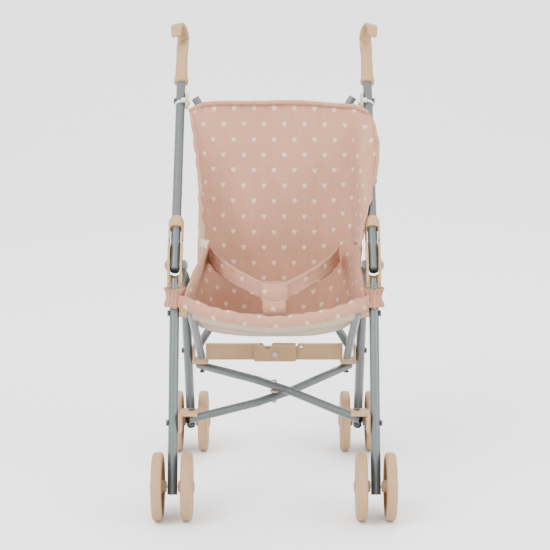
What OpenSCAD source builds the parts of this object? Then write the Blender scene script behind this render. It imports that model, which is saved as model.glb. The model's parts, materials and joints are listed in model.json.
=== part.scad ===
// Doll stroller: folding tube frame, double wheels, cane handles and a sling seat.
// Millimetres, +X to the stroller's left-right, -Y to the front, +Z up, floor at z = 0.

/* [Frame] */
// Distance from the middle plane to the leg and handle tubes
side_x = 112; // [108:1:118]
// Outer diameter of the leg and handle tubes
tube_d = 11; // [10:0.5:11.5]
// Wall thickness of every tube
tube_wall = 1; // [0.8:0.1:1.4]
// Outer diameter of the cross tubes
cross_d = 9.5; // [8.5:0.5:9.5]
// Front axle to rear axle
wheelbase = 270; // [265:1:280]
// Backward lean of the front legs
leg_lean = 21; // [19:0.5:22]
// Backward lean of the handle tubes
handle_lean = 40; // [39:0.5:42]
// Front axle to knee pin, along the front leg
leg_length = 248; // [244:1:252]
// Knee pin to the top of the grips, along the handle tube
handle_length = 333; // [328:1:344]

/* [Wheels] */
// Wheel diameter
wheel_d = 75; // [72:1:75]
// Tread width
wheel_w = 12; // [10:0.5:12]
// Middle of the leg to the middle of each wheel
wheel_x = 16; // [16:0.5:18]

/* [Plastic parts] */
// Thickness of the knee plates
knee_plate = 2.4; // [2:0.1:2.4]
// Outer diameter of the sliding lock collars
collar_d = 17.6; // [17:0.2:18.4]
// Height of the folding crossbar
crossbar_h = 19; // [16:1:19]

/* [Hidden] */
$fn = 48;
HULL_FN = 32;
gap = 0.3;             // between parts that lie side by side
running = 0.05;        // radial clearance of a pin in its hole
tube_r = tube_d / 2;
cross_r = cross_d / 2;
axle_r = 2;
pin_r = 2;
depth_mid = wheelbase / 2;  // front axle to the middle of the whole depth
wheel_r = wheel_d / 2;

// Side-view directions, as [y, z], and points, as [y, z] from the front axle
leg_dir = [sin(leg_lean), cos(leg_lean)];
handle_dir = [sin(handle_lean), cos(handle_lean)];
front_axle = [0, wheel_r];
rear_axle = [wheelbase, wheel_r];
knee = front_axle + leg_length * leg_dir;
rear_dir = (rear_axle - knee) / norm(rear_axle - knee);
function on_leg(t) = knee - t * leg_dir;
function on_handle(t) = knee + t * handle_dir;
function on_rear(t) = knee + t * rear_dir;
function at(x, p) = [x, p[0], p[1]];

// Knee
tang_t = 4;                                        // pressed flat top of the rear leg
plate_in = side_x - tube_r - 0.4 - knee_plate;     // inner face of the inner knee plate
tang_x = plate_in - gap - tang_t / 2;
plate_up = 29;
plate_down = 21;
plate_w = 15;
rear_bottom_x = 105;
rear_drop = norm(rear_axle - knee);
function rear_x(t) = tang_x + (rear_bottom_x - tang_x) * t / rear_drop;

// Lower cross
front_bolt = on_leg(leg_length - 70);              // leg bolt of the front cross bracket
front_end = [92, front_bolt[0] + 11, front_bolt[1] + 2];
rear_bolt_t = 153;
rear_bolt = on_rear(rear_bolt_t);                  // leg bolt of the rear cross bracket
rear_end = [87, rear_bolt[0] + 12, rear_bolt[1] - 22];
cross_rise = cross_r + 1.7;                        // each tube bends by this at the middle rivet
cross_mid = [0, (front_end[1] + rear_end[1]) / 2, (front_end[2] + rear_end[2]) / 2];
flange_t = 3.5;
flange_gap = 1.6;      // room over the sloping tube

// Seat tubes
seat_r = cross_r;
seat_pivot = on_leg(55);
seat_front = at(side_x - 19, seat_pivot);
seat_rear = [side_x - 25, rear_bolt[0] - 9, rear_end[2] + cross_r + flange_t + 9.3];

// Back cross
upper_t = 226;
upper = on_handle(upper_t);
back_low = [90, rear_bolt[0] + 12.5, rear_bolt[1] + 3];
back_high = [94.5, upper[0] + 2, upper[1] + 4];
back_step = cross_r + 1.2;
back_share = back_low[0] / (back_low[0] + back_high[0]);  // how far up the two tubes cross

// Seat cloth, in the side view
crease = [rear_bolt[0] - 12, rear_bolt[1] + 24];
back_top = [back_high[1] - 14, upper[1] - 2];

// Folding crossbar
bar_y = rear_bolt[0] - 1;
bar_z = rear_bolt[1] - 1;
bar_t = 7;
bar_end_x = seat_rear[0] - seat_r - 0.6;

// ---- helpers ----

// Turns +Z towards b - a, and moves to a
module along(a, b) {
    d = b - a;
    translate(a) rotate([0, acos(d[2] / norm(d)), atan2(d[1], d[0])]) children();
}

module rod(a, b, r) {
    along(a, b) cylinder(h = norm(b - a), r = r);
}

module pipe(a, b, r) {
    along(a, b) difference() {
        cylinder(h = norm(b - a), r = r);
        translate([0, 0, -1]) cylinder(h = norm(b - a) + 2, r = r - tube_wall);
    }
}

// A cylinder along X, from x0 to x1, at side-view point p
module cross_pin(x0, x1, p, r) {
    translate(at(min(x0, x1), p)) rotate([0, 90, 0]) cylinder(h = abs(x1 - x0), r = r);
}

module right_side() {
    mirror([1, 0, 0]) children();
}

// A side-view outline, extruded along X from x0 to x1
module side_plate(x0, x1) {
    translate([x0, 0, 0]) rotate([90, 0, 90]) linear_extrude(x1 - x0) children();
}

// A straight bar with round ends, in the side view
module bar2d(a, b, w) {
    d = b - a;
    translate(a) circle(d = w);
    translate(b) circle(d = w);
    translate(a) rotate(atan2(d[1], d[0])) translate([0, -w / 2]) square([norm(d), w]);
}

// ---- frame tubes (left side; the right side is mirrored) ----

module front_leg() {
    top = at(side_x, on_leg(16));
    bottom = at(side_x, front_axle - 9 * leg_dir);
    color("slategray") difference() {
        pipe(bottom, top, tube_r);
        cross_pin(side_x - 9, side_x + 9, front_axle, axle_r);
        cross_pin(side_x - 9, side_x + 9, front_bolt, pin_r);
        cross_pin(side_x - 9, side_x + 9, seat_pivot, pin_r);
    }
}

module rear_leg() {
    bottom_t = rear_drop + 9;
    start = 30;
    flare = tube_r + 0.3;
    top = at(rear_x(start), on_rear(start));
    bottom = at(rear_x(bottom_t), on_rear(bottom_t));
    color("slategray") difference() {
        union() {
            pipe(top, bottom, tube_r);
            // the pressed flat end, then the flare that brings it out to the full tube
            side_plate(tang_x - tang_t / 2, tang_x + tang_t / 2) bar2d(knee, on_rear(18), 12);
            intersection() {
                rod(at(rear_x(9), on_rear(9)), at(rear_x(34), on_rear(34)), flare);
                translate(at(tang_x, on_rear(14))) rotate([-90 - acos(rear_dir[0]), 0, 0])
                    translate([0, 30, 0]) rotate([90, 0, 0]) linear_extrude(60)
                        polygon([[-1.9, -20], [1.9, -20], [1.9, 0], [8, 18], [8, 40],
                            [-8, 40], [-8, 18], [-1.9, 0]]);
            }
        }
        cross_pin(tang_x - 5, tang_x + 5, knee, pin_r + running);
        cross_pin(rear_bottom_x - 9, rear_bottom_x + 9, rear_axle, axle_r);
        cross_pin(tang_x - 8, side_x, rear_bolt, pin_r);
    }
}

module seat_tube() {
    d = (seat_rear - seat_front) / norm(seat_rear - seat_front);
    color("slategray") difference() {
        union() {
            pipe(seat_front - 8 * d, seat_rear, seat_r);
            rod(seat_rear - 4 * d, seat_rear + 2 * d, seat_r - tube_wall / 2);
        }
        cross_pin(seat_front[0] - 8, seat_front[0] + 8, seat_pivot, pin_r + running);
    }
}

module handle_tube() {
    color("slategray") difference() {
        pipe(at(side_x, on_handle(-6)), at(side_x, on_handle(handle_length - 34)), tube_r);
        cross_pin(side_x - 9, side_x + 9, knee, pin_r + running);
        cross_pin(side_x - 9, side_x + 9, upper, pin_r);
    }
}

module tube_plug() {
    low = at(side_x, on_handle(-8));
    face = at(side_x, on_handle(-6));
    color("dimgray") difference() {
        rod(low, face, tube_r - 0.3);
        rod(at(side_x, on_handle(-9)), at(side_x, on_handle(-5)), 1.1);
    }
}

// ---- knee ----

module knee_outline() {
    difference() {
        union() {
            bar2d(knee, on_handle(plate_up - plate_w / 2), plate_w);
            bar2d(knee, on_leg(plate_down - plate_w / 2 + 3), plate_w + 1);
        }
        translate(knee) circle(r = pin_r + running);
    }
}

module knee_bracket() {
    inner = plate_in;
    outer = side_x + tube_r + 0.4;
    web_low = on_leg(24);
    behind = [cos(handle_lean), -sin(handle_lean)];
    color("burlywood") difference() {
        union() {
            side_plate(inner, inner + knee_plate) knee_outline();
            side_plate(outer, outer + knee_plate) knee_outline();
            side_plate(inner, outer + knee_plate)
                bar2d(on_leg(16) + [2, 0], web_low + [2, 0], 11);
            // the wall that the handle tube leans back on
            side_plate(inner, outer + knee_plate)
                bar2d(on_handle(16) + 6.8 * behind, on_handle(26) + 6.8 * behind, 2.6);
        }
        along(at(side_x, on_handle(8)), at(side_x, on_handle(40))) cylinder(h = 32, r = tube_r + 0.1);
        along(at(side_x, on_leg(60)), at(side_x, knee)) cylinder(h = 70, r = tube_r + 0.1);
        translate(at(side_x, knee)) rotate([0, 90, 0])
            cylinder(h = 2 * tube_r + 0.8, r = 10.5, center = true);
    }
    color("burlywood") difference() {
        cross_pin(outer + knee_plate, outer + knee_plate + 1.6, knee, 6);
        cross_pin(outer, outer + 9, knee, pin_r + running);
    }
}

module knee_pin() {
    low = tang_x - tang_t / 2 - gap;
    high = side_x + tube_r + 0.4 + knee_plate + 1.6;
    color("darkgray") {
        cross_pin(low, high + gap, knee, pin_r);
        cross_pin(low - 1.8, low, knee, 4);
        cross_pin(high + gap, high + gap + 1.6, knee, 3.6);
    }
}

module lock_collar() {
    ring_low = 48;
    ring_top = 62;
    bore = tube_r + 0.1;
    color("burlywood") along(at(side_x, knee), at(side_x, on_handle(100))) {
        difference() {
            union() {
                translate([0, 0, ring_low]) cylinder(h = 9, d = collar_d);
                translate([0, 0, ring_low + 9])
                    cylinder(h = ring_top - ring_low - 9, r1 = collar_d / 2, r2 = bore + 1.3);
                intersection() {
                    translate([0, 0, 32]) cylinder(h = ring_low - 32 + 1, d = collar_d);
                    union() for (side = [-1, 1])
                        rotate(90) translate([side * (bore + 2.1) - 1.2, -6.5, 32])
                            cube([2.4, 13, ring_low - 32 + 1]);
                }
            }
            translate([0, 0, 25]) cylinder(h = 45, r = bore);
        }
    }
}

// ---- handle grip: a sleeve that flattens into a strap and hooks forward over the top ----

module handle_grip() {
    sleeve_low = handle_length - 79;
    sleeve_top = handle_length - 44;
    strap_w = 13;
    strap_t = 4;
    hook_r = 11;
    hook_base = handle_length - hook_r - strap_t / 2;
    twist = 8;
    color("burlywood") along(at(side_x, knee), at(side_x, on_handle(100))) rotate(180 + twist) {
        difference() {
            union() {
                translate([0, 0, sleeve_low]) cylinder(h = sleeve_top - sleeve_low, r = 7.6);
                hull() {
                    translate([0, 0, sleeve_top]) cylinder(h = 1, r = 7.6, $fn = HULL_FN);
                    translate([-4, -strap_w / 2, hook_base - 1]) cube([strap_t + 2, strap_w, 1]);
                }
            }
            translate([0, 0, sleeve_low - 1]) cylinder(h = 46, r = tube_r + 0.05);
        }
        translate([-2 + strap_t / 2 - 4 + hook_r + strap_t / 2, 0, hook_base]) rotate([90, 0, 0])
            translate([0, 0, -strap_w / 2]) linear_extrude(strap_w) {
                intersection() {
                    difference() {
                        circle(r = hook_r + strap_t / 2);
                        circle(r = hook_r - strap_t / 2);
                    }
                    translate([-20, 0]) square([40, 20]);
                }
                translate([hook_r - strap_t / 2, -11]) square([strap_t, 11]);
            }
    }
}

// ---- cross braces ----

module front_cross_bracket() {
    face = side_x - tube_r - gap;
    flange_z = front_end[2] + cross_r + flange_gap;
    color("burlywood") difference() {
        union() {
            translate([face - 3.6, front_bolt[0] - 7, front_bolt[1] - 10])
                cube([3.6, 20, flange_z + flange_t - front_bolt[1] + 10]);
            translate([face - 21, front_bolt[0] - 4, flange_z]) cube([18, 22, flange_t]);
        }
        cross_pin(face - 6, face + 2, front_bolt, pin_r);
        translate([front_end[0], front_end[1], flange_z - 1]) cylinder(h = flange_t + 2, r = pin_r);
    }
}

module rear_cross_bracket() {
    face = rear_x(rear_bolt_t) - tube_r - 0.35;
    flange_top = rear_end[2] + cross_r + flange_gap + flange_t;
    color("burlywood") difference() {
        union() {
            translate([face - 2.4, rear_bolt[0] - 7, flange_top - flange_t])
                cube([2.4, 25, crossbar_h + 4]);
            translate([rear_end[0] - 8, rear_bolt[0] - 6, flange_top - flange_t])
                cube([face - rear_end[0] + 7.5, 25, flange_t]);
        }
        cross_pin(face - 4, face + 2, rear_bolt, pin_r);
        translate([rear_end[0], rear_end[1], flange_top - flange_t - 1])
            cylinder(h = flange_t + 2, r = pin_r);
    }
}

// One bent tube of the lower cross: straight ends, and a stretch that passes over (up = 1)
// or under (up = -1) the other tube at the rivet
module lower_cross_tube(up) {
    a = [-up * rear_end[0], rear_end[1], rear_end[2]];
    b = [up * front_end[0], front_end[1], front_end[2]];
    d = (b - a) / norm(b - a);
    m = cross_mid + [0, 0, up * cross_rise];
    flat = 26;
    p = m - flat * d;
    q = m + flat * d;
    color("slategray") difference() {
        union() {
            rod(a - 6 * d, p, cross_r);
            rod(p, q, cross_r);
            rod(q, b + 6 * d, cross_r);
            translate(p) rotate([90, 0, 20]) sphere(r = cross_r + 0.3);
            translate(q) rotate([90, 0, 20]) sphere(r = cross_r + 0.3);
        }
        rod(b, b + 8 * d, cross_r - tube_wall);
        rod(a - 8 * d, a, cross_r - tube_wall);
        for (end = [a, b, m]) translate(end - [0, 0, 9]) cylinder(h = 18, r = pin_r);
    }
}

module cross_rivet(bottom, top, x, y) {
    translate([x, y, bottom - 1]) cylinder(h = top - bottom + 2, r = pin_r - 0.02);
    translate([x, y, top]) cylinder(h = 1.6, r = 3.4);
    translate([x, y, bottom - 2]) cylinder(h = 2, r = 3, $fn = 6);
}

module lower_cross_rivet() {
    reach = cross_rise + cross_r + gap;
    color("silver") cross_rivet(cross_mid[2] - reach, cross_mid[2] + reach, 0, cross_mid[1]);
}

module lower_cross_washer() {
    color("burlywood") translate([0, cross_mid[1], cross_mid[2] - 1.1]) difference() {
        cylinder(h = 2.2, r = 5);
        translate([0, 0, -1]) cylinder(h = 5, r = pin_r);
    }
}

// Upright bolts that hold the lower cross to its four brackets
module cross_bolts() {
    color("dimgray") for (side = [-1, 1]) {
        for (end = [front_end, rear_end])
            cross_rivet(end[2] - cross_r - 1.2, end[2] + cross_r + flange_gap + flange_t + 0.1,
                side * end[0], end[1]);
    }
}

// Bolts through the legs: front cross bracket, seat tube and rear cross bracket on each side
module leg_bolts() {
    color("dimgray") for (side = [0, 1]) mirror([side, 0, 0]) {
        cross_pin(side_x - tube_r - gap - 3.8, side_x + tube_r + 0.1, front_bolt, pin_r - 0.02);
        cross_pin(side_x + tube_r + 0.1, side_x + tube_r + 2.3, front_bolt, 3.4);
        cross_pin(seat_front[0] - seat_r - 0.5, side_x + tube_r + 0.1, seat_pivot, pin_r - 0.02);
        cross_pin(side_x + tube_r + 0.1, side_x + tube_r + 2.3, seat_pivot, 3.4);
        cross_pin(seat_front[0] - seat_r - 2.5, seat_front[0] - seat_r - 0.5, seat_pivot, 3.4);
        cross_pin(rear_x(rear_bolt_t) - tube_r - 2.7, rear_x(rear_bolt_t) + tube_r + 0.1,
            rear_bolt, pin_r - 0.02);
        cross_pin(rear_x(rear_bolt_t) + tube_r + 0.1, rear_x(rear_bolt_t) + tube_r + 2.1,
            rear_bolt, 3.4);
    }
}

// Keeps the seat tube clear of the leg
module seat_spacer() {
    low = seat_front[0] + seat_r + 0.2;
    color("burlywood") difference() {
        cross_pin(low, side_x - tube_r - 0.1, seat_pivot, 4.2);
        cross_pin(low - 1, side_x, seat_pivot, pin_r);
    }
}

// ---- folding crossbar ----

module crossbar_left() {
    clasp_t = 13;
    color("tan") difference() {
        union() {
            translate([-bar_end_x, bar_y - bar_t / 2, bar_z - crossbar_h / 2])
                cube([bar_end_x - 20, bar_t, crossbar_h]);
            translate([-24, bar_y - clasp_t / 2, bar_z - crossbar_h / 2 - 1.5])
                cube([50, clasp_t, crossbar_h + 1]);
        }
        translate([-18, bar_y - 3.2, bar_z - crossbar_h / 2 - 3]) cube([60, 6.4, crossbar_h + 6]);
        translate([-8, bar_y, bar_z + crossbar_h / 2 + 1]) rotate([90, 0, 0])
            cylinder(h = 20, r = 6, center = true);
        translate([1, bar_y, bar_z - 3]) rotate([90, 0, 0])
            cylinder(h = 20, r = pin_r, center = true);
    }
}

module crossbar_right() {
    tongue_t = 6;
    color("tan") difference() {
        union() {
            translate([28, bar_y - bar_t / 2, bar_z - crossbar_h / 2])
                cube([bar_end_x - 28, bar_t, crossbar_h]);
            translate([-12, bar_y - tongue_t / 2, bar_z - crossbar_h / 2])
                cube([42, tongue_t, crossbar_h - 3]);
        }
        translate([1, bar_y, bar_z - 3]) rotate([90, 0, 0])
            cylinder(h = 20, r = pin_r, center = true);
        translate([31, bar_y - 10, bar_z + 3]) rotate([-90, 0, 0])
            linear_extrude(20) polygon([[0, -4], [6, -4], [0, 0]]);
    }
}

module crossbar_rivet() {
    color("silver") translate([1, bar_y, bar_z - 3]) rotate([90, 0, 0]) {
        cylinder(h = 13.4, r = pin_r - 0.02, center = true);
        for (end = [-1, 1]) translate([0, 0, end * 7.4]) cylinder(h = 1.4, r = 3.6, center = true);
    }
}

// ---- back cross ----

module upper_bracket() {
    face = side_x - tube_r - gap;
    color("wheat") difference() {
        side_plate(face - 3.4, face) bar2d(upper - 5 * handle_dir, upper + 5 * handle_dir, 11);
        cross_pin(face - 9, face + 3, upper, pin_r);
    }
}

// Black bolts that hold the upper brackets to the handle tubes
module upper_bolts() {
    color("black") for (side = [0, 1]) mirror([side, 0, 0]) {
        cross_pin(side_x - tube_r - gap - 3.6, side_x + tube_r + 0.1, upper, pin_r - 0.02);
        cross_pin(side_x + tube_r + 0.1, side_x + tube_r + 2.4, upper, 3.6);
    }
}

module back_cross_tube(side, step) {
    a = [side * back_low[0], back_low[1] + step, back_low[2]];
    b = [-side * back_high[0], back_high[1] + step, back_high[2]];
    m = a + (b - a) * back_share;
    color("slategray") difference() {
        pipe(a, b, cross_r);
        translate(m + [0, 9, 0]) rotate([90, 0, 0]) cylinder(h = 18, r = pin_r);
    }
}

module back_cross_rivet() {
    m = back_low + (back_high - back_low) * back_share;
    reach = back_step + cross_r + 0.6;
    color("silver") translate([0, m[1], m[2]]) rotate([90, 0, 0]) {
        cylinder(h = 2 * reach, r = pin_r - 0.02, center = true);
        for (end = [-1, 1]) translate([0, 0, end * (reach + 0.7)])
            cylinder(h = 1.4, r = 3.4, center = true);
    }
}

// ---- wheels ----

module axle(x, p) {
    half = wheel_x + 5;
    color("silver") cross_pin(x - half, x + half, p, axle_r - 0.02);
}

// A hollow wheel on X, its cupped side towards the leg: out = 1 is the outer wheel of a pair
module wheel(x, p, out) {
    web = 3;
    rim = 4.5;
    edge = 2;
    inner = -wheel_w / 2;
    outer = wheel_w / 2;
    color("burlywood") translate(at(x + out * wheel_x, p)) rotate([0, out * 90, 0])
        rotate_extrude() {
            polygon([[wheel_r - rim, inner], [wheel_r - edge, inner], [wheel_r - 0.6, inner + 0.7],
                [wheel_r, inner + edge], [wheel_r, outer - edge], [wheel_r - 0.6, outer - 0.7],
                [wheel_r - edge, outer], [wheel_r - rim - 2, outer - 0.8], [10, outer + 0.2],
                [8.5, outer + 2], [0, outer + 2.8], [0, outer + 0.4], [axle_r + running, outer + 0.4],
                [axle_r + running, inner - 3.6], [6, inner - 3.6], [6.5, outer - web],
                [wheel_r - rim - 2, outer - web - 1], [wheel_r - rim, outer - web - 3]]);
        }
}

// ---- soft parts, as plain solids ----

// The seat back hangs from its top edge, in front of the back cross
module seat_back() {
    rise = norm(back_top - crease);
    lean = atan2(back_top[1] - crease[1], back_top[0] - crease[0]);
    color("pink") cross_pin(-97, 97, back_top, 2.2);
    color("pink") translate(at(0, crease)) rotate([lean, 0, 0])
        translate([0, 0, -1.5]) linear_extrude(3)
            polygon([[-78, 30], [78, 30], [88, 150], [97, rise], [-97, rise], [-88, 150]]);
}

module seat_bottom() {
    half = side_x - 36;
    color("pink") side_plate(-half, half) bar2d(seat_pivot + [11, -1], crease - [6, 0], 3);
}

// A flat strap between two points, its width upright
module strap(a, b, width) {
    along(a, b) translate([-width / 2, -1, 0]) cube([width, 2, norm(b - a)]);
}

module waist_belt() {
    color("pink") strap([62, crease[0] - 14, knee[1] - 7], [12, seat_pivot[0] + 13, seat_pivot[1] + 27], 18);
}

module crotch_strap() {
    color("pink") side_plate(-10, 10)
        bar2d(seat_pivot + [9, 14], seat_pivot + [10, 26], 2.4);
}

module front_band() {
    half = side_x - 14;
    centre = on_leg(62) + [-9.5, 0];
    color("pink") side_plate(-half, half) bar2d(centre - [0, 8], centre + [0, 8], 3);
}

// Bands that tie the seat back's top corners round the handle tubes
module corner_ties() {
    color("white") for (side = [0, 1]) mirror([side, 0, 0])
        along(at(side_x, on_handle(upper_t - 15)), at(side_x, on_handle(upper_t + 30))) difference() {
            cylinder(h = 2.4, r = tube_r + 1.8);
            translate([0, 0, -1]) cylinder(h = 5, r = tube_r + 0.1);
        }
}

// ---- the parts in place ----

module part(name) {
    translate([0, -depth_mid, 0]) children();
}

module pair(name) {
    part(str(name, "_left")) right_side() children();
    part(str(name, "_right")) children();
}

pair("front_leg") front_leg();
pair("rear_leg") rear_leg();
pair("handle_tube") handle_tube();
pair("handle_grip") handle_grip();
pair("tube_plug") tube_plug();
pair("lock_collar") lock_collar();
pair("knee_bracket") knee_bracket();
pair("knee_pin") knee_pin();
pair("seat_tube") seat_tube();
pair("seat_spacer") seat_spacer();
pair("front_cross_bracket") front_cross_bracket();
pair("rear_cross_bracket") rear_cross_bracket();
pair("upper_bracket") upper_bracket();
part("leg_bolts") leg_bolts();
part("cross_bolts") cross_bolts();
part("upper_bolts") upper_bolts();
part("lower_cross_tube_upper") lower_cross_tube(1);
part("lower_cross_tube_lower") lower_cross_tube(-1);
part("lower_cross_rivet") lower_cross_rivet();
part("lower_cross_washer") lower_cross_washer();
part("crossbar_left") crossbar_left();
part("crossbar_right") crossbar_right();
part("crossbar_rivet") crossbar_rivet();
part("back_cross_tube_front") back_cross_tube(1, -back_step);
part("back_cross_tube_rear") back_cross_tube(-1, back_step);
part("back_cross_rivet") back_cross_rivet();
pair("axle_front") axle(side_x, front_axle);
pair("axle_rear") axle(rear_bottom_x, rear_axle);
for (out = [-1, 1]) {
    name = out > 0 ? "_outer" : "_inner";
    part(str("wheel_front_left", name)) right_side() wheel(side_x, front_axle, out);
    part(str("wheel_front_right", name)) wheel(side_x, front_axle, out);
    part(str("wheel_rear_left", name)) right_side() wheel(rear_bottom_x, rear_axle, out);
    part(str("wheel_rear_right", name)) wheel(rear_bottom_x, rear_axle, out);
}
part("seat_back") seat_back();
part("seat_bottom") seat_bottom();
part("front_band") front_band();
pair("waist_belt") waist_belt();
part("crotch_strap") crotch_strap();
part("corner_ties") corner_ties();
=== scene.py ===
"""Looks for the doll stroller: procedural materials on the frame's solids, and modelled cloth, grips,
wheels and small parts around them."""

import json
import math

import bmesh
import bpy
import numpy as np
from mathutils import Matrix, Vector


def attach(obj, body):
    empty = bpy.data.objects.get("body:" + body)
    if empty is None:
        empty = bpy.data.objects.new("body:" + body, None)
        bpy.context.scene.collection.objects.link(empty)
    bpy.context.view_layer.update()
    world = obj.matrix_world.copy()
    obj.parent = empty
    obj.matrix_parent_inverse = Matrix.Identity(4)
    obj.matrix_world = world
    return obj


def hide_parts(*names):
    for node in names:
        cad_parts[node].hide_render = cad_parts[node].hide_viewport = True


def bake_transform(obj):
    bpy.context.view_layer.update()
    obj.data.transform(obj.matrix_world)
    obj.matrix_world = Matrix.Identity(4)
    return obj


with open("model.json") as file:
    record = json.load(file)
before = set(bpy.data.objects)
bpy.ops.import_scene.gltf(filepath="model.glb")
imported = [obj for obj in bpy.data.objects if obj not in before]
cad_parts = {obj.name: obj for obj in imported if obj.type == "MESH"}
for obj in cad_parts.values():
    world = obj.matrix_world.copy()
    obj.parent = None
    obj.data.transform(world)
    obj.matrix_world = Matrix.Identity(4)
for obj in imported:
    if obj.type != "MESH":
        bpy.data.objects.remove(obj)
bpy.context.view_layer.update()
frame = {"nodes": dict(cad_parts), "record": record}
NODES = frame["nodes"]
np.random.seed(7)

MM = 0.001
# Sizes below are in millimetres, measured from the front axle (y) and the floor (z)
MID_Y = 135.0  # from the front axle back to the row frame's origin
LEG_LEAN, HANDLE_LEAN = math.radians(21), math.radians(40)
WHEELBASE, WHEEL_R, LEG_LENGTH, HANDLE_LENGTH = 270.0, 37.5, 248.0, 333.0
SIDE_X, TUBE_R = 112.0, 5.5
REAR_X, WHEEL_X = 105.0, 16.0  # a rear leg's foot from the middle, and each wheel from its leg
KNEE = (LEG_LENGTH * math.sin(LEG_LEAN), WHEEL_R + LEG_LENGTH * math.cos(LEG_LEAN))  # y, z of the knee pins
HANDLE_AXIS = Vector((0, math.sin(HANDLE_LEAN), math.cos(HANDLE_LEAN)))
HANDLE_AHEAD = Vector((0, -math.cos(HANDLE_LEAN), math.sin(HANDLE_LEAN)))
SIDES = (("left", -1), ("right", 1))  # the doll's left is at -X


def row(x, y, z):
    """A point in millimetres from the front axle, as metres in the row frame."""
    return Vector((x * MM, (y - MID_Y) * MM, z * MM))


def on_leg(x, t):
    """A point on a front leg's axis, t mm below the knee pin."""
    return row(x, KNEE[0] - t * math.sin(LEG_LEAN), KNEE[1] - t * math.cos(LEG_LEAN))


def on_handle(x, t):
    """A point on a handle tube's axis, t mm above the knee pin."""
    return row(x, KNEE[0] + t * math.sin(HANDLE_LEAN), KNEE[1] + t * math.cos(HANDLE_LEAN))


# ---------------------------------------------------------------- camera

camera = bpy.data.objects.new("camera", bpy.data.cameras.new("camera"))
bpy.context.collection.objects.link(camera)
camera.data.sensor_width = 36
camera.data.lens = 108.4
camera.data.clip_end = 50
camera.location = row(0.9, -1750, 598.5)
camera.rotation_euler = (math.radians(79.5), 0, 0)
bpy.context.scene.camera = camera


# ---------------------------------------------------------------- materials


class Shader:
    """A short way to write a node material."""

    def __init__(self, name, **principled):
        self.material = bpy.data.materials.new(name)
        self.material.use_nodes = True
        self.tree = self.material.node_tree
        self.surface = self.tree.nodes["Principled BSDF"]
        for key, value in principled.items():
            self.surface.inputs[key.replace("_", " ")].default_value = value

    def node(self, kind, links=None, **settings):
        made = self.tree.nodes.new("ShaderNode" + kind)
        for key, value in settings.items():
            setattr(made, key, value)
        for socket, value in (links or {}).items():
            if isinstance(value, bpy.types.NodeSocket):
                self.tree.links.new(value, made.inputs[socket])
            else:
                made.inputs[socket].default_value = value
        return made

    def math(self, operation, a, b=0.0, c=0.0):
        return self.node("Math", {0: a, 1: b, 2: c}, operation=operation).outputs[0]

    def coordinates(self, kind="Object"):
        return self.node("TexCoord").outputs[kind]

    def noise(self, vector, scale, detail=3.0, roughness=0.5):
        return self.node(
            "TexNoise", {"Vector": vector, "Scale": scale, "Detail": detail, "Roughness": roughness}
        ).outputs["Fac"]

    def ramp(self, value, low, high, to_low=0.0, to_high=1.0):
        return self.node(
            "MapRange",
            {"Value": value, "From Min": low, "From Max": high, "To Min": to_low, "To Max": to_high},
        ).outputs["Result"]

    def mix(self, factor, a, b):
        made = self.node("Mix", data_type="RGBA")
        for socket, value in ((0, factor), (6, a), (7, b)):
            if isinstance(value, bpy.types.NodeSocket):
                self.tree.links.new(value, made.inputs[socket])
            else:
                made.inputs[socket].default_value = value
        return made.outputs[2]

    def colour(self, value):
        self.tree.links.new(value, self.surface.inputs["Base Color"])

    def rough(self, value):
        self.tree.links.new(value, self.surface.inputs["Roughness"])

    def bump(self, height, distance, strength=1.0):
        made = self.node("Bump", {"Height": height, "Distance": distance, "Strength": strength})
        self.tree.links.new(made.outputs[0], self.surface.inputs["Normal"])


STUDIO_GAIN, STUDIO_GAMMA = 0.70, 1.32  # deepen a screen colour to suit the bright studio


def rgb(r, g, b):
    """A material colour from the colour wanted on screen, 0 to 255."""
    linear = [((c / 255 + 0.055) / 1.055) ** 2.4 if c > 10 else c / 255 / 12.92 for c in (r, g, b)]
    return (*(STUDIO_GAIN * c ** STUDIO_GAMMA for c in linear), 1.0)


def shade_of(colour, factor):
    return tuple(min(1, c * factor) for c in colour[:3]) + (1,)


def painted_metal(name, colour, roughness):
    s = Shader(name, Metallic=0.35, Roughness=roughness)
    s.surface.inputs["Coat Weight"].default_value = 0.25
    s.surface.inputs["Coat Roughness"].default_value = 0.25
    p = s.coordinates()
    cloud = s.noise(p, 60.0)
    grain = s.noise(p, 1400.0, 2.0)
    light, dark = shade_of(colour, 1.18), shade_of(colour, 0.86)
    # painted highlight: convex edges are lightened towards a pale grey, as if lit along their bevels
    edge = s.ramp(s.node("NewGeometry").outputs["Pointiness"], 0.52, 0.60)
    painted_edge_highlight = s.math("MULTIPLY", edge, 0.25)
    s.colour(s.mix(painted_edge_highlight, s.mix(cloud, dark, light), rgb(168, 172, 172)))
    s.rough(s.ramp(s.noise(p, 180.0), 0.3, 0.7, roughness - 0.06, roughness + 0.1))
    s.bump(grain, 0.00008)
    return s.material


def moulded_plastic(name, colour, roughness, grain_size=0.00006):
    speckle = 0.10
    s = Shader(name, Roughness=roughness)
    s.surface.inputs["Subsurface Weight"].default_value = 0.04
    s.surface.inputs["Subsurface Radius"].default_value = (0.003, 0.002, 0.001)
    p = s.coordinates()
    cloud = s.noise(p, 45.0, 4.0)
    light, dark = shade_of(colour, 1 + speckle), shade_of(colour, 1 - speckle)
    grain = s.noise(p, 2200.0, 2.0)
    # painted highlight: convex edges are lightened towards a brighter copy of the colour, as if catching the light
    edge = s.ramp(s.node("NewGeometry").outputs["Pointiness"], 0.51, 0.58)
    base = s.mix(cloud, dark, light)
    s.colour(s.mix(s.math("MULTIPLY", edge, 0.3), base, shade_of(colour, 1.3)))
    s.rough(s.ramp(s.noise(p, 90.0), 0.3, 0.7, roughness - 0.07, roughness + 0.08))
    s.bump(grain, grain_size)
    return s.material


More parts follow.
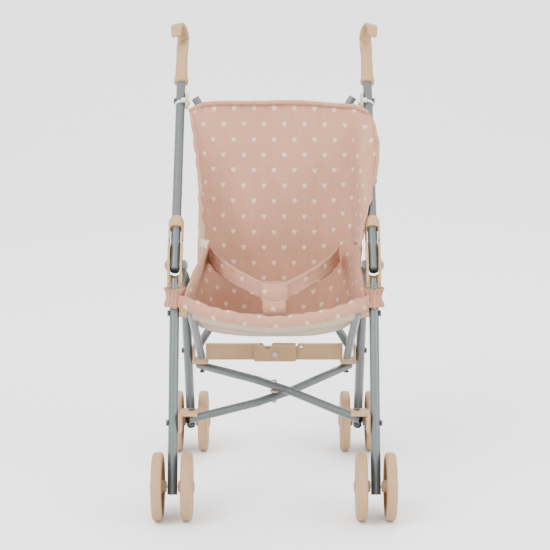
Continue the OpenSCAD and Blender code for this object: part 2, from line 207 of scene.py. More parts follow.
def steel(name, colour, roughness):
    s = Shader(name, Metallic=1.0, Roughness=roughness)
    p = s.coordinates()
    fine = s.noise(p, 900.0, 3.0)
    s.colour(s.mix(fine, shade_of(colour, 0.85), colour))
    s.rough(s.ramp(fine, 0.3, 0.7, roughness - 0.06, roughness + 0.12))
    s.bump(fine, 0.00003)
    return s.material


THREAD_PITCH = 0.0009
HEART_CELL_U, HEART_CELL_V, HEART_HALF = 0.0240, 0.0180, 0.0027  # spacing of the print, and half a heart's width


def muslin(name, ground, thread, hearts=None):
    """Crinkled double-layer cotton on UV coordinates in metres; hearts is the colour of the print, if any."""
    s = Shader(name, Roughness=0.88)
    s.surface.inputs["Sheen Weight"].default_value = 0.10
    s.surface.inputs["Sheen Roughness"].default_value = 0.5
    s.surface.inputs["Subsurface Weight"].default_value = 0.05
    s.surface.inputs["Subsurface Radius"].default_value = (0.002, 0.001, 0.001)
    uv = s.coordinates("UV")
    parts = s.node("SeparateXYZ", {0: uv})
    u, v = parts.outputs[0], parts.outputs[1]
    # threads of a plain weave, and the soft creases that run along the warp
    warp = s.math("SINE", s.math("MULTIPLY", u, 2 * math.pi / THREAD_PITCH))
    weft = s.math("SINE", s.math("MULTIPLY", v, 2 * math.pi / THREAD_PITCH))
    weave = s.math("MULTIPLY_ADD", s.math("MULTIPLY", warp, weft), 0.5, 0.5)
    along = s.node("Mapping", {"Vector": uv, "Scale": (1.0, 0.28, 1.0)}).outputs[0]
    crinkle = s.noise(along, 330.0, 4.0, 0.62)
    ridges = s.math("ABSOLUTE", s.math("SUBTRACT", crinkle, 0.5))
    broad = s.noise(along, 90.0, 3.0)
    # painted shade: the cloth is darkened along the crease lines of the crinkle
    shade = s.ramp(ridges, 0.0, 0.16)
    base = s.mix(s.math("MULTIPLY", broad, 0.8), ground, thread)
    painted_crease_shade = s.math("MULTIPLY", s.math("SUBTRACT", 1.0, shade), 0.22)
    base = s.mix(painted_crease_shade, base, shade_of(ground, 0.72))
    if hearts:
        # every other row of the print is moved along by half a cell
        rows = s.math("DIVIDE", v, HEART_CELL_V)
        jog = s.math("MULTIPLY", s.math("FLOOR", rows), 0.5)
        cell_x = s.math("FRACT", s.math("ADD", s.math("DIVIDE", u, HEART_CELL_U), jog))
        cell_y = s.math("FRACT", rows)
        hx = s.math("ABSOLUTE", s.math("MULTIPLY", s.math("SUBTRACT", cell_x, 0.5), HEART_CELL_U / HEART_HALF))
        hy = s.math("MULTIPLY", s.math("SUBTRACT", cell_y, 0.5), HEART_CELL_V / HEART_HALF)
        notch = s.math("MULTIPLY", s.math("SQRT", hx), 0.85)
        dip = s.math("SUBTRACT", s.math("MULTIPLY", hy, 1.05), notch)
        field = s.math("ADD", s.math("MULTIPLY", hx, hx), s.math("MULTIPLY", dip, dip))
        field = s.math("ADD", field, s.math("MULTIPLY", s.math("SUBTRACT", crinkle, 0.5), 1.5))
        heart = s.ramp(field, 1.12, 0.82)
        base = s.mix(s.math("MULTIPLY", heart, 0.75), base, hearts)
    s.colour(base)
    height = s.math("ADD", s.math("MULTIPLY", weave, 0.10), s.math("ADD", crinkle, broad))
    s.bump(height, 0.0011, 0.75)
    return s.material


METAL = painted_metal("frame_metal", rgb(112, 119, 122), 0.34)
TAN = moulded_plastic("tan_plastic", rgb(205, 173, 132), 0.45)
WHEEL = moulded_plastic("wheel_plastic", rgb(202, 168, 132), 0.58, 0.0001)
CREAM = moulded_plastic("cream_plastic", rgb(222, 208, 184), 0.48)
STEEL = steel("steel", rgb(205, 205, 205), 0.24)
BLACK = painted_metal("black_bolt", rgb(38, 38, 40), 0.4)
DARK = moulded_plastic("plug_dark", rgb(74, 74, 76), 0.55)
WHITE = moulded_plastic("tie_white", rgb(240, 239, 236), 0.4)
PRINT = muslin("fabric_print", rgb(214, 166, 140), rgb(228, 186, 162), rgb(246, 230, 212))
PLAIN = muslin("fabric_plain", rgb(212, 162, 136), rgb(226, 182, 158))
LINING = muslin("fabric_lining", rgb(208, 192, 168), rgb(226, 213, 193))
TAG = muslin("tag_cloth", rgb(226, 212, 190), rgb(236, 226, 208))
THREAD = moulded_plastic("thread", rgb(214, 172, 148), 0.8)

SLOT_MATERIAL = {
    "frame_metal": METAL, "tan_plastic": TAN, "wheel_plastic": WHEEL, "steel": STEEL,
    "black_bolt": BLACK, "plug_dark": DARK, "fabric_print": PRINT, "tie_white": WHITE,
}
for entry in frame["record"]["subparts"]:
    material = SLOT_MATERIAL[entry["material_slot"]]
    if entry["node"] in ("upper_bracket_left", "upper_bracket_right"):
        material = CREAM
    mesh = NODES[entry["node"]].data
    mesh.materials.clear()
    mesh.materials.append(material)


# ---------------------------------------------------------------- mesh helpers


def add(name, mesh, body, slot, materials, *replaced):
    """Makes a smooth-shaded piece; body is None for a piece that is blended or placed on a body later."""
    obj = bpy.data.objects.new(name, mesh)
    bpy.context.collection.objects.link(obj)
    for material in materials:
        mesh.materials.append(material)
    mesh.polygons.foreach_set("use_smooth", [True] * len(mesh.polygons))
    if replaced:
        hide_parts(*replaced)
    if body:
        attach(obj, body)
    return obj


def grid_mesh(name, points, u=None, v=None, close_u=False):
    """A mesh over points[row][column]. Unless given, the UVs are lengths along it in metres."""
    pts = np.array([[tuple(p) for p in line] for line in points])
    rows, cols = pts.shape[:2]
    if u is None:
        step = np.linalg.norm(np.diff(pts, axis=1), axis=2)
        u = np.concatenate([np.zeros((rows, 1)), np.cumsum(step, axis=1)], axis=1)
    if v is None:
        step = np.linalg.norm(np.diff(pts, axis=0), axis=2)
        v = np.concatenate([np.zeros((1, cols)), np.cumsum(step, axis=0)], axis=0)
    mesh = bpy.data.meshes.new(name)
    faces = []
    for i in range(rows - 1):
        for j in range(cols - (0 if close_u else 1)):
            k = (j + 1) % cols
            faces.append((i * cols + j, i * cols + k, (i + 1) * cols + k, (i + 1) * cols + j))
    mesh.from_pydata([tuple(p) for p in pts.reshape(-1, 3)], [], faces)
    layer = mesh.uv_layers.new(name="UVMap")
    uu, vv = u.reshape(-1), v.reshape(-1)
    for loop in mesh.loops:
        layer.data[loop.index].uv = (float(uu[loop.vertex_index]), float(vv[loop.vertex_index]))
    mesh.update()
    return mesh


def apply_modifiers(obj):
    bpy.context.view_layer.update()
    graph = bpy.context.evaluated_depsgraph_get()
    made = bpy.data.meshes.new_from_object(obj.evaluated_get(graph))
    old = obj.data
    obj.modifiers.clear()
    obj.data = made
    bpy.data.meshes.remove(old)
    return obj


def thicken(obj, thickness, offset=0.0, second=None):
    """Gives a sheet two faces; second is how many slots further the other face's material is."""
    m = obj.modifiers.new("thick", "SOLIDIFY")
    m.thickness = thickness
    m.offset = offset
    m.use_rim = True
    if second is not None:
        m.material_offset = second
        m.material_offset_rim = 0
    return apply_modifiers(obj)


def lathe(name, profile, segments=96):
    """Turns (axial, radius) points in millimetres about X."""
    turns = [2 * math.pi * k / segments for k in range(segments)]
    rows = [[(a * MM, r * MM * math.cos(turn), r * MM * math.sin(turn)) for turn in turns] for a, r in profile]
    return grid_mesh(name, rows, close_u=True)


def weld(mesh, rings=0, sides=0):
    """Closes the two ends of a tube of rings, or joins the points that meet, and turns the faces outwards."""
    bm = bmesh.new()
    bm.from_mesh(mesh)
    if rings:
        bm.verts.ensure_lookup_table()
        last = rings * sides
        bm.faces.new([bm.verts[k] for k in range(sides)])
        bm.faces.new([bm.verts[k] for k in range(last - 1, last - sides - 1, -1)])
    else:
        bmesh.ops.remove_doubles(bm, verts=bm.verts, dist=1e-6)
    bmesh.ops.recalc_face_normals(bm, faces=bm.faces[:])
    bm.to_mesh(mesh)
    bm.free()


def smooth_line(points, count):
    """A Catmull-Rom line through points, sampled evenly along its length."""
    p = [np.array(tuple(q), float) for q in points]
    p = [2 * p[0] - p[1]] + p + [2 * p[-1] - p[-2]]
    fine = []
    for i in range(1, len(p) - 2):
        for k in range(24):
            t = k / 24
            a, b, c, d = p[i - 1], p[i], p[i + 1], p[i + 2]
            fine.append(0.5 * (2 * b + (c - a) * t + (2 * a - 5 * b + 4 * c - d) * t * t
                               + (3 * b - a - 3 * c + d) * t ** 3))
    fine.append(p[-2])
    fine = np.array(fine)
    run = np.concatenate([[0], np.cumsum(np.linalg.norm(np.diff(fine, axis=0), axis=1))])
    want = np.linspace(0, run[-1], count)
    return np.stack([np.interp(want, run, fine[:, k]) for k in range(fine.shape[1])], axis=1)


def tube_mesh(name, line, radius, sides=10, flat=1.0, up=(0, 0, 1)):
    """A round or flattened bead along a line."""
    line = np.array(line, float)
    tangent = np.gradient(line, axis=0)
    tangent /= np.linalg.norm(tangent, axis=1)[:, None]
    side = np.cross(tangent, np.array(up, float))
    side /= np.linalg.norm(side, axis=1)[:, None]
    normal = np.cross(side, tangent)
    rows = []
    for p, s_, n in zip(line, side, normal):
        rows.append([p + radius * (math.cos(a) * s_ + flat * math.sin(a) * n)
                     for a in (2 * math.pi * k / sides for k in range(sides))])
    mesh = grid_mesh(name, rows, close_u=True)
    weld(mesh, len(line), sides)
    return mesh


def strap_length(line):
    return float(np.sum(np.linalg.norm(np.diff(np.array(line), axis=0), axis=1)))


LEAST_FLAT, LEAST_SHARE = 0.0101, 0.31  # just inside the limits on a sheet's side and on the used share of its cut


def declare(width, length):
    """Clamps a piece's width and length to at least LEAST_FLAT, and keeps neither; a closed bead or strap is cloth
    folded on itself, so half its skin is the cut.
    """
    width, length = max(LEAST_FLAT, width), max(LEAST_FLAT, length)


# ---------------------------------------------------------------- seat cloth

CLOTH_ROWS, CLOTH_COLS, RIM_POINTS = 110, 97, 400
HANG_FRAMES = 22  # of settling
CLOTH_THICKNESS = 0.0016
MAX_DROP, MAX_BACK = 0.005, 0.0012  # how far settling may move a point, and how far of that backwards
# cloth further out than PASS_X is brought in front of the handle tube, fully so PASS_BAND further on
PASS_X, PASS_BAND, TUBE_GAP, ABOVE_KNEE = 92, 11, 1.6, 20
SWELL = {-1: 21, 1: 9}  # how far each side bags outwards
# y, z down the middle of the back and out to the front of the seat
BACK_LINE = [(224, 443), (216, 405), (206, 350), (199, 300), (194, 250), (191, 215), (187, 190),
             (178, 176), (164, 174), (135, 185), (105, 200), (78, 214)]
# x, y, z down each free edge; the real cloth hangs a little to one side
RIM_LEFT = [(99, 222, 440), (96, 208, 421), (91, 192, 393), (84, 152, 343), (80, 116, 296),
            (84, 100, 272), (93, 86, 252), (99, 76, 238), (100, 72, 230)]
RIM_RIGHT = [(111, 216, 436), (117, 203, 418), (120, 184, 396), (119, 165, 374), (107, 140, 342),
             (98, 115, 300), (96, 100, 272), (99, 86, 252), (101, 76, 238), (100, 72, 230)]


def clear_of_tube(p):
    """Keeps cloth that spreads past the handle tubes in front of them."""
    w = min(1.0, max(0.0, (abs(p[0]) - PASS_X) / PASS_BAND))
    w = w * w * (3 - 2 * w)
    if p[2] > KNEE[1] + ABOVE_KNEE:
        axis_y = KNEE[0] + (p[2] - KNEE[1]) * math.tan(HANDLE_LEAN)
        front = axis_y - (TUBE_R + TUBE_GAP) / math.cos(HANDLE_LEAN)
        p[1] = p[1] * (1 - w) + min(p[1], front) * w
    return p


def cloth_points():
    """The sling from the top hem (row 0) to the front of the seat, each row running from rim to rim."""
    centre = smooth_line([(0, y, z) for y, z in BACK_LINE], CLOTH_ROWS)
    rims = {-1: smooth_line(RIM_LEFT, RIM_POINTS), 1: smooth_line(RIM_RIGHT, RIM_POINTS)}
    run = np.linspace(0, 1, RIM_POINTS)
    rows = []
    for i in range(CLOTH_ROWS):
        t = i / (CLOTH_ROWS - 1)
        q = min(1.0, t * 1.28) ** 0.92
        edges = {end: np.array([np.interp(q, run, rim[:, k]) for k in range(3)]) for end, rim in rims.items()}
        swell_t = math.sin(math.pi * t / 0.9) ** 0.8 if t < 0.9 else 0
        line = []
        for j in range(CLOTH_COLS):
            side = 2 * j / (CLOTH_COLS - 1) - 1
            s = abs(side)
            end = -1 if side < 0 else 1
            edge = edges[end]
            forward = s ** (1.6 + 1.6 * min(1, t * 3))
            swell = SWELL[end] * swell_t
            x = edge[0] * (1 - (1 - s) ** 1.45) + swell * math.sin(math.pi * s ** 1.6) * s
            p = np.array([math.copysign(x, side), *(centre[i][1:] * (1 - forward) + edge[1:] * forward)])
            line.append(clear_of_tube(p))
        rows.append(line)
    return np.array(rows)


def soft_waves(pts):
    """Gathers along the top hem, slack ripples down the rims, and puckers near the front corners."""
    out = pts.copy()
    phases = np.random.rand(12) * 2 * math.pi
    for i in range(CLOTH_ROWS):
        t = i / (CLOTH_ROWS - 1)
        for j in range(CLOTH_COLS):
            side = 2 * j / (CLOTH_COLS - 1) - 1
            s = abs(side)
            hem = math.exp(-t / 0.05)
            gather = hem * (0.7 * math.sin(34 * side + phases[0]) + 0.6 * math.sin(57 * side + phases[1]))
            drape = math.exp(-((t - 0.3) / 0.25) ** 2) * (
                2.2 * math.sin(7 * side + 9 * t + phases[2]) + 1.4 * math.sin(13 * side - 6 * t + phases[3]))
            out[i, j, 1] += gather + drape * (1 - hem)
            out[i, j, 2] += hem * (0.5 * math.sin(9 * side + phases[4]) - 6.5 * max(0, s - 0.74) / 0.26)
            slack = s ** 6 * math.sin(math.pi * min(1, t / 0.75))
            out[i, j, 0] += math.copysign(slack * (2.4 * math.sin(31 * t + phases[5 + (side > 0)])
                                                   + 1.5 * math.sin(53 * t + phases[7 + (side > 0)])), side)
            corner = s ** 4 * max(0, t - 0.62) / 0.38
            out[i, j, 2] += corner * 1.8 * math.sin(60 * t + phases[9] + 8 * side)
    return out


def drape(obj, pinned):
    """Lets the cloth settle under its own weight with its sewn edges held."""
    group = obj.vertex_groups.new(name="pins")
    for index in pinned:
        group.add([index], 1.0, "REPLACE")
    m = obj.modifiers.new("cloth", "CLOTH")
    c = m.settings
    c.quality = 6
    c.mass = 0.25
    c.tension_stiffness = c.compression_stiffness = 12
    c.shear_stiffness = 6
    c.bending_stiffness = 0.35
    c.tension_damping = c.compression_damping = 20
    c.air_damping = 5
    c.vertex_group_mass = "pins"
    c.shrink_min = -0.035
    m.point_cache.frame_start = 1
    m.point_cache.frame_end = HANG_FRAMES
    scene = bpy.context.scene
    for f in range(1, HANG_FRAMES + 1):
        scene.frame_set(f)
    apply_modifiers(obj)
    obj.vertex_groups.clear()
    scene.frame_set(1)


shape = soft_waves(cloth_points())
shape_m = np.stack([shape[..., 0] * MM, (shape[..., 1] - MID_Y) * MM, shape[..., 2] * MM], axis=-1)
across = np.linalg.norm(np.diff(shape_m, axis=1), axis=2)
u_len = np.concatenate([np.zeros((CLOTH_ROWS, 1)), np.cumsum(across, axis=1)], axis=1)
u_len -= u_len[:, CLOTH_COLS // 2][:, None]
down = np.linalg.norm(np.diff(shape_m[:, CLOTH_COLS // 2], axis=0), axis=1)
v_len = -np.concatenate([[0], np.cumsum(down)])[:, None] * np.ones((1, CLOTH_COLS))
cloth = bpy.data.objects.new("seat_cloth", grid_mesh("seat_cloth", shape_m, u_len, v_len))
bpy.context.collection.objects.link(cloth)
pins = []
for i in range(CLOTH_ROWS):
    for j in range(CLOTH_COLS):
        if j in (0, CLOTH_COLS - 1) or i in (0, CLOTH_ROWS - 1):
            pins.append(i * CLOTH_COLS + j)
drape(cloth, pins)
for vertex, start in zip(cloth.data.vertices, shape_m.reshape(-1, 3)):
    move = np.array(vertex.co) - start
    move *= min(1.0, MAX_DROP / max(1e-9, float(np.linalg.norm(move))))
    move[1] = min(move[1], MAX_BACK)
    vertex.co = start + move
for vertex in cloth.data.vertices:
    mm = clear_of_tube([vertex.co.x / MM, vertex.co.y / MM + MID_Y, vertex.co.z / MM])
    vertex.co.y = (mm[1] - MID_Y) * MM
settled = np.array([tuple(v.co) for v in cloth.data.vertices]).reshape(CLOTH_ROWS, CLOTH_COLS, 3)
for material in (LINING, PRINT):
    cloth.data.materials.append(material)
cloth.data.polygons.foreach_set("use_smooth", [True] * len(cloth.data.polygons))
thicken(cloth, CLOTH_THICKNESS, -1.0, 1)
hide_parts("seat_back", "seat_bottom")
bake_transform(cloth)

# bound edges: a folded strip sewn over each rim, and a rolled hem across the top
for side, column in (("left", 0), ("right", CLOTH_COLS - 1)):
    line = settled[::2, column]
    bead = tube_mesh(f"binding_{side}", line, 0.0021, 10, 1.0, (0.3, -1, 0.2))
    obj = add(f"binding_{side}", bead, None, "fabric_print", [PLAIN])
    declare(0.012, strap_length(line))
    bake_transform(obj)
hem = tube_mesh("top_hem", settled[0] + np.array([0, -0.0012, -0.0018]), 0.0029, 14, 1.6, (0, 1, 0))
hem_obj = add("top_hem", hem, "upper_frame", "fabric_print", [PLAIN])
declare(0.014, 0.235)


def ribbon(name, line, width, across_dir, body, materials, thickness=0.0014, waves=0.0, wave_n=9, cols=9,
           slot="fabric_print", replaced=()):
    """A strap along a line: width in metres along across_dir, with its two faces and a slight crown."""
    crown = 0.0007
    line = np.array([tuple(p) for p in line], float)
    n = len(line)
    rows = []
    across_dir = np.array(across_dir, float)
    tangent = np.gradient(line, axis=0)
    tangent /= np.linalg.norm(tangent, axis=1)[:, None]
    for i in range(n):
        a = across_dir - tangent[i] * across_dir.dot(tangent[i])
        a /= np.linalg.norm(a)
        out = np.cross(tangent[i], a)
        rows.append([
            line[i] + a * width * (j / (cols - 1) - 0.5)
            + out * (waves * math.sin(wave_n * 2 * math.pi * i / n + 1.7 * j / cols)
                     * (0.4 + abs(j / (cols - 1) - 0.5))
                     + crown * math.cos(math.pi * (j / (cols - 1) - 0.5)))
            for j in range(cols)
        ])
    mesh = grid_mesh(name, rows)
    obj = add(name, mesh, None, slot, materials, *replaced)
    thicken(obj, thickness, 0.0, 1 if len(materials) > 1 else None)
    if body:
        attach(obj, body)
    return obj


# waist belts, from the back's sides to a loop at the front, with a strap down to the band
BELT_W = 0.0185
for side, sg in SIDES:
    path = smooth_line([row(sg * 76, 168, 268), row(sg * 66, 138, 262), row(sg * 44, 108, 252),
                        row(sg * 20, 88, 243), row(sg * 9, 82, 240)], 48)
    belt = ribbon(f"belt_{side}", path, BELT_W, (0, 0.12, 1), None, [PRINT], 0.0022, 0.0006, 5,
                  replaced=(f"waist_belt_{side}",))
    declare(strap_length(path), BELT_W)
    for edge in (-1, 1):
        seam = path + np.array([0, -0.0014, edge * (BELT_W / 2 - 0.002)])
        stitch = tube_mesh(f"belt_seam_{side}_{'top' if edge > 0 else 'low'}", seam, 0.00035, 6)
        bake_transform(add(stitch.name, stitch, None, "fabric_print", [THREAD]))
    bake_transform(belt)
loop_line = smooth_line([row(-14, 84, 240), row(-13, 78, 240), row(0, 75.5, 240), row(13, 78, 240),
                         row(14, 84, 240), row(0, 87, 240), row(-14, 84, 240)], 40)
loop = ribbon("belt_loop", loop_line, 0.021, (0, 0, 1), None, [PRINT], 0.0018)
declare(strap_length(loop_line), 0.021)
crotch_line = smooth_line([row(0, 77, 231), row(0, 73, 222), row(0, 76, 212), row(0, 88, 207)], 24)
crotch = ribbon("crotch_strap_cloth", crotch_line, 0.026, (1, 0, 0), None, [PRINT], 0.002, 0.0004, 3,
                replaced=("crotch_strap",))
declare(0.026, strap_length(crotch_line))
for piece in (loop, crotch):
    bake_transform(piece)

# front band: two layers that sag between the legs, and a ruffled sleeve round each leg
BAND_TOP = [(-106, 66, 239), (-92, 60, 236), (-60, 57, 225), (0, 56, 217), (60, 57, 225), (92, 60, 236),
            (106, 66, 239)]
BAND_POINTS, FRONT_STEPS, UNDER_STEPS = 120, 12, 8
top_line = smooth_line([row(*p) for p in BAND_TOP], BAND_POINTS)
band_rows = []
for i, p in enumerate(top_line):
    e = abs(2 * i / (BAND_POINTS - 1) - 1)
    tall = 0.0125 + 0.0045 * e ** 2
    line = []
    for j in range(FRONT_STEPS + 1):
        d = j / FRONT_STEPS
        pleat = (e ** 5 * 0.0016 * math.sin(150 * p[0] / 0.1 + 3 * d)
                 + 0.0005 * math.sin(52 * p[0] / 0.1 + 4 * d))
        belly = 0.0022 * math.sin(math.pi * d)
        line.append(p + np.array([0, -belly - pleat, -tall * d + 0.0006 * math.sin(37 * p[0] / 0.1)]))
    for j in range(1, UNDER_STEPS + 1):
        d = j / UNDER_STEPS
        down = -tall - 0.010 * math.sin(d * 1.2) - 0.0004 * math.sin(60 * p[0] / 0.1)
        line.append(p + np.array([0, 0.013 * d + 0.001, down]))
    band_rows.append(line)
band = add("band_cloth", grid_mesh("band_cloth", band_rows), None, "fabric_print", [PRINT, LINING], "front_band")
for poly in band.data.polygons:
    if poly.index % (FRONT_STEPS + UNDER_STEPS) >= FRONT_STEPS:
        poly.material_index = 1
thicken(band, 0.0014, 0.0)
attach(band, "frame")
declare(0.24, 0.034)
lower_edge = np.array([line[-1] for line in band_rows])[::2]
edge_bead = add("band_edge", tube_mesh("band_edge", lower_edge, 0.0016, 8), "frame", "fabric_print", [PLAIN])
declare(0.215, 0.012)
SLEEVE_STEPS, SLEEVE_SIDES = 24, 96
for side, sg in SIDES:
    rows = []
    for i in range(SLEEVE_STEPS + 1):
        d = i / SLEEVE_STEPS
        centre = on_leg(sg * SIDE_X, 26 + 21 * d)
        flare = 7.4 + 2.2 * (abs(2 * d - 1) ** 2)
        ring = []
        for k in range(SLEEVE_SIDES):
            a = 2 * math.pi * k / SLEEVE_SIDES
            ruffle = (0.8 + 1.5 * abs(2 * d - 1)) * math.sin(13 * a + 2.5 * d + sg) * 0.9 + 0.5 * math.sin(7 * a)
            r = (flare + ruffle) * MM
            ring.append(centre + Vector((r * math.cos(a), r * math.sin(a), 0.0006 * math.sin(5 * a))))
        rows.append(ring)
    sleeve = add(f"band_sleeve_{side}", grid_mesh("sleeve", rows, close_u=True), None, "fabric_print", [PLAIN])
    thicken(sleeve, 0.0012, -1.0)
    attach(sleeve, "frame")
    declare(0.075, 0.023)

# a plain woven tag folded over the left rim
tag_line = smooth_line([row(-84.5, 112, 291), row(-80, 108, 290), row(-75.5, 106, 289)], 12)
tag = ribbon("side_tag", tag_line, 0.010, (0, 0.1, 1), None, [TAG], 0.0008)
declare(strap_length(tag_line), 0.010)
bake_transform(tag)

# ---------------------------------------------------------------- ties

TIE_HEIGHT, TIE_R, TIE_STEPS = 222, 6.1, 64
for side, sg in SIDES:
    centre = on_handle(sg * SIDE_X, TIE_HEIGHT)
    ring = []
    for k in range(TIE_STEPS + 1):
        a = 2 * math.pi * k / TIE_STEPS
        reach = TIE_R + (5.0 * max(0, math.cos(a)) ** 3)  # the tie reaches inward to the cloth's corner
        ring.append(centre + Vector((-sg * reach * math.cos(a) * MM, 0, 0))
                    + HANDLE_AHEAD * (TIE_R * MM * math.sin(a)) + HANDLE_AXIS * (0.0012 * math.cos(a)))
    ribbon(f"tie_{side}", ring, 0.0032, HANDLE_AXIS, "upper_frame", [WHITE], 0.0011, cols=5, slot="tie_white",
           replaced=("corner_ties",) if side == "left" else ())
    bm = bmesh.new()
    bmesh.ops.create_cube(bm, size=1)
    bmesh.ops.scale(bm, verts=bm.verts, vec=(0.0048, 0.0042, 0.0050))
    bmesh.ops.bevel(bm, geom=bm.edges[:], offset=0.0006, segments=3, profile=0.6, affect="EDGES")
    head = bpy.data.meshes.new("tie_head")
    bm.to_mesh(head)
    bm.free()
    head.transform(Matrix.Rotation(-HANDLE_LEAN, 4, "X"))
    head.transform(Matrix.Translation(centre + HANDLE_AHEAD * 0.0075 + Vector((-sg * 0.004, 0, 0))))
    add(f"tie_head_{side}", head, "upper_frame", "tie_white", [WHITE])

# ---------------------------------------------------------------- grips


def loft(name, sections, sides=48):
    """A closed skin over rounded sections: each is (centre, x axis, y axis, half width, half depth, power)."""
    rows = []
    for centre, ax, ay, w, d, power in sections:
        ring = []
        for k in range(sides):
            a = 2 * math.pi * k / sides
            c, s_ = math.cos(a), math.sin(a)
            ring.append(Vector(centre) + ax * (w * math.copysign(abs(c) ** (2 / power), c))
                        + ay * (d * math.copysign(abs(s_) ** (2 / power), s_)))
        rows.append(ring)
    mesh = grid_mesh(name, rows, close_u=True)
    weld(mesh, len(sections), sides)
    return mesh


GRIP_TURN, HOOK_R, HOOK_STEPS, HOOK_HALF = 20, 11.0, 14, 2.1  # degrees outwards, then millimetres
GRIP_BARREL = ((252, 7.9), (253, 8.6), (256, 8.7), (258.5, 8.2), (262, 7.6), (272, 7.3), (284, 7.1), (292, 6.9))
GRIP_NECK = ((298, 7.3, 5.9, 0.3, 2.3), (306, 7.6, 4.4, 1.0, 3.0), (314, 7.6, 3.0, 1.6, 4.0))
GRIP_TIP = ((4, 6.2), (8, 6.1), (10.5, 5.6), (11.5, 4.6))
RIB_ANGLES = (0.35, 0.75, 1.15, 1.55, 1.95, 2.35, 2.75)


def grip(side, sg):
    """A round barrel on the tube that flattens into a hook, with stiffening ribs inside the hook."""
    axis = HANDLE_AXIS
    turn = Matrix.Rotation(math.radians(GRIP_TURN * sg), 3, axis)
    ahead = (turn @ HANDLE_AHEAD).normalized()
    across = axis.cross(ahead).normalized()
    sections = []
    for t, r in GRIP_BARREL:
        sections.append((on_handle(sg * SIDE_X, t), across, ahead, r * MM, r * MM, 2.0))
    start = on_handle(sg * SIDE_X, HANDLE_LENGTH - 13) - ahead * 0.002
    for t, w, d, push, power in GRIP_NECK:
        sections.append((on_handle(sg * SIDE_X, t) - ahead * (push * MM), across, ahead, w * MM, d * MM, power))
    centre = start + ahead * (HOOK_R * MM)
    for k in range(HOOK_STEPS + 1):
        a = math.pi * k / HOOK_STEPS
        c = centre - ahead * (HOOK_R * MM * math.cos(a)) + axis * (HOOK_R * MM * math.sin(a))
        inward = -ahead * math.cos(a) + axis * math.sin(a)
        width = 7.6 - 1.0 * k / HOOK_STEPS
        sections.append((c, across, inward, width * MM, HOOK_HALF * MM, 6.0))
    tip = centre + ahead * (HOOK_R * MM)
    for drop, w in GRIP_TIP:
        half = HOOK_HALF if drop < 11 else 1.5
        sections.append((tip - axis * (drop * MM), across, ahead, w * MM, half * MM, 6.0))
    mesh = loft(f"grip_{side}", sections)
    add(f"grip_{side}", mesh, "upper_frame", "tan_plastic", [TAN], f"handle_grip_{side}")
    rib_r = HOOK_R - 2.6
    for n, a in enumerate(RIB_ANGLES):
        c = centre - ahead * (rib_r * MM * math.cos(a)) + axis * (rib_r * MM * math.sin(a))
        line = [c + across * x for x in (-0.0058, -0.003, 0.003, 0.0058)]
        rib = tube_mesh(f"grip_rib_{side}_{n}", line, 0.0007, 8, 1.0, axis)
        add(rib.name, rib, "upper_frame", "tan_plastic", [TAN])


for side, sg in SIDES:
    grip(side, sg)

# ---------------------------------------------------------------- wheels

WHEEL_RIBS = 8
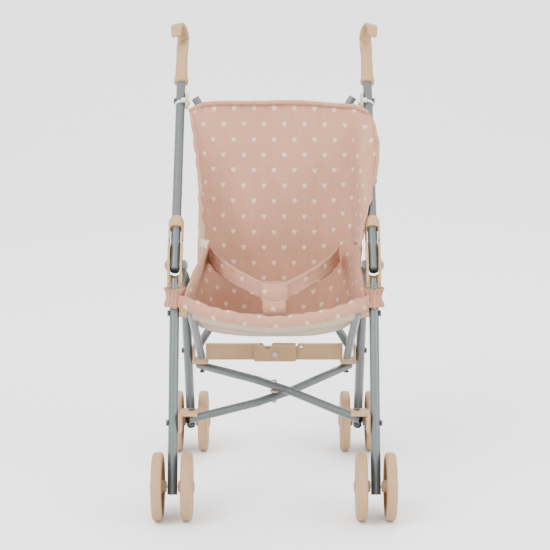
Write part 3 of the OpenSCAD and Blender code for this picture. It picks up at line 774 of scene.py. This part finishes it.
# (axial, radius) in millimetres: the hub and the flat face, the tread, then the cupped face and the bore
PROFILE = [
    (8.6, 0.0), (8.6, 3.2), (8.2, 5.2), (7.2, 7.2), (6.6, 8.2), (6.35, 8.8), (6.2, 10.5), (5.9, 20.0), (5.4, 29.0),
    (5.3, 30.8), (5.6, 31.6), (6.0, 32.4), (5.9, 34.2), (5.2, 36.2), (4.0, 37.2), (2.6, 37.5), (-2.6, 37.5),
    (-4.0, 37.2), (-5.2, 36.2), (-5.9, 34.2), (-6.0, 33.2), (-5.6, 32.9), (3.0, 32.4), (3.4, 31.0), (3.8, 12.0),
    (3.6, 9.4), (2.6, 7.6), (-9.0, 6.3), (-9.5, 6.0), (-9.6, 5.6), (-9.6, 2.15), (6.0, 2.15),
]
for end, x0, y0 in (("front", SIDE_X, 0.0), ("rear", REAR_X, WHEELBASE)):
    for side, sg in SIDES:
        for place, out in (("outer", 1), ("inner", -1)):
            name = f"wheel_{end}_{side}_{place}"
            mesh = lathe(f"{name}_tread", [(a * out * sg, r) for a, r in PROFILE])
            mesh.transform(Matrix.Translation(row(sg * (x0 + out * WHEEL_X), y0, WHEEL_R)))
            weld(mesh)
            add(f"{name}_shape", mesh, f"{name}_body", "wheel_plastic", [WHEEL], name)
            # moulded ribs on the cupped side
            for k in range(WHEEL_RIBS):
                a = 2 * math.pi * k / WHEEL_RIBS
                inner_x = sg * (x0 + out * WHEEL_X) + sg * out * 2.6
                p = [row(inner_x, y0 + r * math.cos(a), WHEEL_R + r * math.sin(a)) for r in (7.0, 15, 24, 32.6)]
                rib = tube_mesh(f"{name}_rib_{k}", p, 0.0012, 6, 1.0, (1, 0, 0))
                add(rib.name, rib, f"{name}_body", "wheel_plastic", [WHEEL])

# ---------------------------------------------------------------- stage and light

# a paper sweep: flat floor, a quarter turn, then up
floor_mesh = bpy.data.meshes.new("floor")
FLOOR_STEPS = 24
points, faces = [], []
for k in range(FLOOR_STEPS + 1):
    s = k / FLOOR_STEPS
    if s < 0.5:
        y, z = -3 + s * 2 * 5.0, 0.0
    else:
        a = min(1, (s - 0.5) / 0.25) * math.pi / 2
        y, z = 2 + 1.2 * math.sin(a), 1.2 * (1 - math.cos(a)) + max(0, s - 0.75) * 14
    points += [(-6, y, z), (6, y, z)]
for k in range(FLOOR_STEPS):
    faces.append((2 * k, 2 * k + 1, 2 * k + 3, 2 * k + 2))
floor_mesh.from_pydata(points, [], faces)
floor = bpy.data.objects.new("floor", floor_mesh)
bpy.context.collection.objects.link(floor)
floor_mesh.polygons.foreach_set("use_smooth", [True] * len(floor_mesh.polygons))
paper = Shader("paper", Roughness=0.9)
paper.surface.inputs["Base Color"].default_value = (0.93, 0.93, 0.93, 1)
floor_mesh.materials.append(paper.material)

world = bpy.data.worlds.new("studio")
bpy.context.scene.world = world
world.use_nodes = True
world.node_tree.nodes["Background"].inputs[0].default_value = (1, 1, 1, 1)
world.node_tree.nodes["Background"].inputs[1].default_value = 2.1


def area_light(name, where, look_at, size, power):
    data = bpy.data.lights.new(name, "AREA")
    data.size = size
    data.energy = power
    obj = bpy.data.objects.new(name, data)
    obj.location = where
    obj.rotation_euler = (Vector(look_at) - Vector(where)).to_track_quat("-Z", "Y").to_euler()
    bpy.context.collection.objects.link(obj)


area_light("key", (-1.3, -1.6, 2.2), (0, 0, 0.25), 1.4, 82)
area_light("fill", (1.8, -1.2, 1.4), (0, 0, 0.25), 1.6, 34)
area_light("back", (0.3, 1.6, 2.0), (0, 0, 0.3), 1.4, 34)
